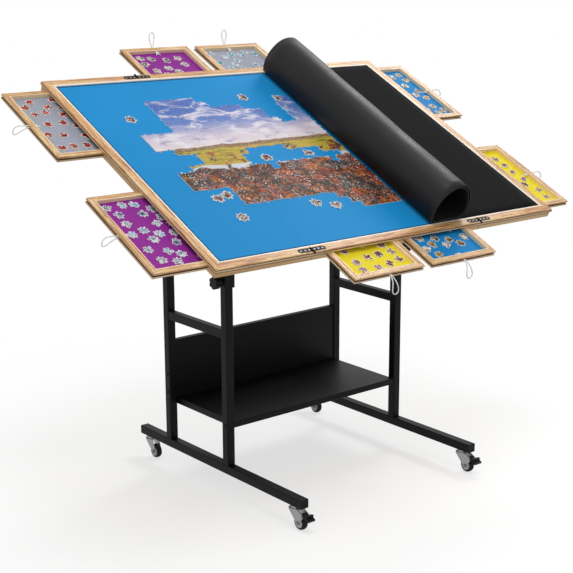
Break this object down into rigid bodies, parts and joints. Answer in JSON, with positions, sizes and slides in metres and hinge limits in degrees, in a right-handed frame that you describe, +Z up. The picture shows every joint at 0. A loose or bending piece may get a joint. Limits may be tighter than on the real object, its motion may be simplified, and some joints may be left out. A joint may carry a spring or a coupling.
{
  "type": "jigsaw puzzle table with drawers",
  "caption": "Folding jigsaw puzzle board with slide-out sorting drawers and a roll-up cover mat, on a height-adjustable, tilting, wheeled four-post stand with a shelf.",
  "frame": {"origin": "on the floor below the middle of the whole table as it stands, drawers out", "axes": "+X along the board to the right, +Y from front to back, +Z up"},
  "size_m": [1.3706, 0.9306, 1.0787],
  "materials": {
    "frame_black": "satin powder coat",
    "shelf_black": "black laminate",
    "rail_pine": "clear lacquered pine",
    "casing_wood": "plywood",
    "panel_blue": "blue faced fibreboard",
    "tray_wood": "pine with coloured floor",
    "mat_felt": "black felt",
    "hinge_black": "black",
    "zinc": "bright zinc",
    "fixings": "black oxide",
    "black_plastic": "moulded",
    "wheel": "black tread on a pale hub",
    "cord_white": "braided cord"
  },
  "bodies": {
    "stand": {"left_foot": "frame_black", "right_foot": "frame_black", "foot_end_caps": "black_plastic", "main_posts": "frame_black", "rear_posts": "frame_black", "crossbars": "frame_black", "shelf": "shelf_black", "back_panel": "shelf_black", "panel_screws": "fixings", "post_collars": "frame_black", "caster_stems": "zinc"},
    "lift_frame": {"lift_posts": "frame_black", "top_rails": "frame_black", "rear_tie": "frame_black", "tilt_pivot_bolts": "fixings"},
    "board": {"centre_rails": "rail_pine", "centre_panel": "panel_blue", "centre_casing": "casing_wood", "centre_hinge_leaves": "hinge_black", "tilt_quadrants": "frame_black", "cover_mat_roll": "mat_felt"},
    "left_wing": {"left_wing_rails": "rail_pine", "left_wing_panel": "panel_blue", "left_wing_casing": "casing_wood", "left_wing_hinge_leaves": "hinge_black"},
    "right_wing": {"right_wing_rails": "rail_pine", "right_wing_panel": "panel_blue", "right_wing_casing": "casing_wood", "right_wing_hinge_leaves": "hinge_black", "cover_mat_flat": "mat_felt"},
    "left_front_drawer": {"left_front_drawer": "tray_wood", "left_front_pull": "cord_white"},
    "right_front_drawer": {"right_front_drawer": "tray_wood", "right_front_pull": "cord_white"},
    "left_back_drawer": {"left_back_drawer": "tray_wood", "left_back_pull": "cord_white"},
    "right_back_drawer": {"right_back_drawer": "tray_wood", "right_back_pull": "cord_white"},
    "front_left_drawer": {"front_left_drawer": "tray_wood", "front_left_pull": "cord_white"},
    "front_right_drawer": {"front_right_drawer": "tray_wood", "front_right_pull": "cord_white"},
    "back_left_drawer": {"back_left_drawer": "tray_wood", "back_left_pull": "cord_white"},
    "back_right_drawer": {"back_right_drawer": "tray_wood", "back_right_pull": "cord_white"},
    "left_height_knob": {"left_height_knob": "black_plastic"},
    "left_tilt_knob": {"left_tilt_knob": "black_plastic"},
    "right_height_knob": {"right_height_knob": "black_plastic"},
    "right_tilt_knob": {"right_tilt_knob": "black_plastic"},
    "front_left_fork": {"front_left_caster_fork": "zinc"},
    "front_left_wheel": {"front_left_caster_wheel": "wheel"},
    "front_left_pedal": {"front_left_brake_pedal": "black_plastic"},
    "back_left_fork": {"back_left_caster_fork": "zinc"},
    "back_left_wheel": {"back_left_caster_wheel": "wheel"},
    "front_right_fork": {"front_right_caster_fork": "zinc"},
    "front_right_wheel": {"front_right_caster_wheel": "wheel"},
    "front_right_pedal": {"front_right_brake_pedal": "black_plastic"},
    "back_right_fork": {"back_right_caster_fork": "zinc"},
    "back_right_wheel": {"back_right_caster_wheel": "wheel"}
  },
  "joints": [
    {"name": "lift", "type": "slide", "parent": "stand", "child": "lift_frame", "axis": [0, 0, 1], "range_m": [-0.12, 0.1]},
    {"name": "tilt", "type": "hinge", "parent": "lift_frame", "child": "board", "pos_m": [0.012, -0.06657, 0.752], "axis": [1, 0, 0], "range_deg": [-26, 14]},
    {"name": "left_wing_fold", "type": "hinge", "parent": "board", "child": "left_wing", "pos_m": [-0.2505, -0.02568, 0.81645], "axis": [0, 0.8988, 0.4384], "range_deg": [0, 160]},
    {"name": "right_wing_fold", "type": "hinge", "parent": "board", "child": "right_wing", "pos_m": [0.2745, -0.02568, 0.81645], "axis": [0, -0.8988, -0.4384], "range_deg": [0, 100]},
    {"name": "left_front_slide", "type": "slide", "parent": "left_wing", "child": "left_front_drawer", "axis": [-1, 0, 0], "range_m": [-0.134, 0.066]},
    {"name": "right_front_slide", "type": "slide", "parent": "right_wing", "child": "right_front_drawer", "axis": [1, 0, 0], "range_m": [-0.1, 0.1]},
    {"name": "left_back_slide", "type": "slide", "parent": "left_wing", "child": "left_back_drawer", "axis": [-1, 0, 0], "range_m": [-0.118, 0.082]},
    {"name": "right_back_slide", "type": "slide", "parent": "right_wing", "child": "right_back_drawer", "axis": [1, 0, 0], "range_m": [-0.11, 0.09]},
    {"name": "front_left_slide", "type": "slide", "parent": "board", "child": "front_left_drawer", "axis": [0, -0.8988, -0.4384], "range_m": [-0.102, 0.188]},
    {"name": "front_right_slide", "type": "slide", "parent": "board", "child": "front_right_drawer", "axis": [0, -0.8988, -0.4384], "range_m": [-0.102, 0.188]},
    {"name": "back_left_slide", "type": "slide", "parent": "board", "child": "back_left_drawer", "axis": [0, 0.8988, 0.4384], "range_m": [-0.145, 0.145]},
    {"name": "back_right_slide", "type": "slide", "parent": "board", "child": "back_right_drawer", "axis": [0, 0.8988, 0.4384], "range_m": [-0.143, 0.147]},
    {"name": "left_height_clamp", "type": "hinge", "parent": "stand", "child": "left_height_knob", "pos_m": [-0.2875, -0.06657, 0.532], "axis": [-1, 0, 0], "range_deg": [0, 360]},
    {"name": "left_tilt_clamp", "type": "hinge", "parent": "lift_frame", "child": "left_tilt_knob", "pos_m": [-0.233, 0.05343, 0.752], "axis": [1, 0, 0], "range_deg": [0, 360]},
    {"name": "right_height_clamp", "type": "hinge", "parent": "stand", "child": "right_height_knob", "pos_m": [0.3115, -0.06657, 0.532], "axis": [1, 0, 0], "range_deg": [0, 360]},
    {"name": "right_tilt_clamp", "type": "hinge", "parent": "lift_frame", "child": "right_tilt_knob", "pos_m": [0.257, 0.05343, 0.752], "axis": [-1, 0, 0], "range_deg": [0, 360]},
    {"name": "front_left_swivel", "type": "hinge", "parent": "stand", "child": "front_left_fork", "pos_m": [-0.263, -0.31757, 0.045], "axis": [0, 0, 1], "continuous": true},
    {"name": "front_left_roll", "type": "hinge", "parent": "front_left_fork", "child": "front_left_wheel", "pos_m": [-0.263, -0.33757, 0.018], "axis": [1, 0, 0], "continuous": true},
    {"name": "front_left_brake", "type": "hinge", "parent": "front_left_fork", "child": "front_left_pedal", "pos_m": [-0.263, -0.35057, 0.037], "axis": [-1, 0, 0], "range_deg": [0, 18]},
    {"name": "back_left_swivel", "type": "hinge", "parent": "stand", "child": "back_left_fork", "pos_m": [-0.263, 0.27043, 0.045], "axis": [0, 0, 1], "continuous": true},
    {"name": "back_left_roll", "type": "hinge", "parent": "back_left_fork", "child": "back_left_wheel", "pos_m": [-0.263, 0.25043, 0.018], "axis": [1, 0, 0], "continuous": true},
    {"name": "front_right_swivel", "type": "hinge", "parent": "stand", "child": "front_right_fork", "pos_m": [0.287, -0.31757, 0.045], "axis": [0, 0, 1], "continuous": true},
    {"name": "front_right_roll", "type": "hinge", "parent": "front_right_fork", "child": "front_right_wheel", "pos_m": [0.287, -0.33757, 0.018], "axis": [1, 0, 0], "continuous": true},
    {"name": "front_right_brake", "type": "hinge", "parent": "front_right_fork", "child": "front_right_pedal", "pos_m": [0.287, -0.35057, 0.037], "axis": [-1, 0, 0], "range_deg": [0, 18]},
    {"name": "back_right_swivel", "type": "hinge", "parent": "stand", "child": "back_right_fork", "pos_m": [0.287, 0.27043, 0.045], "axis": [0, 0, 1], "continuous": true},
    {"name": "back_right_roll", "type": "hinge", "parent": "back_right_fork", "child": "back_right_wheel", "pos_m": [0.287, 0.25043, 0.018], "axis": [1, 0, 0], "continuous": true}
  ]
}
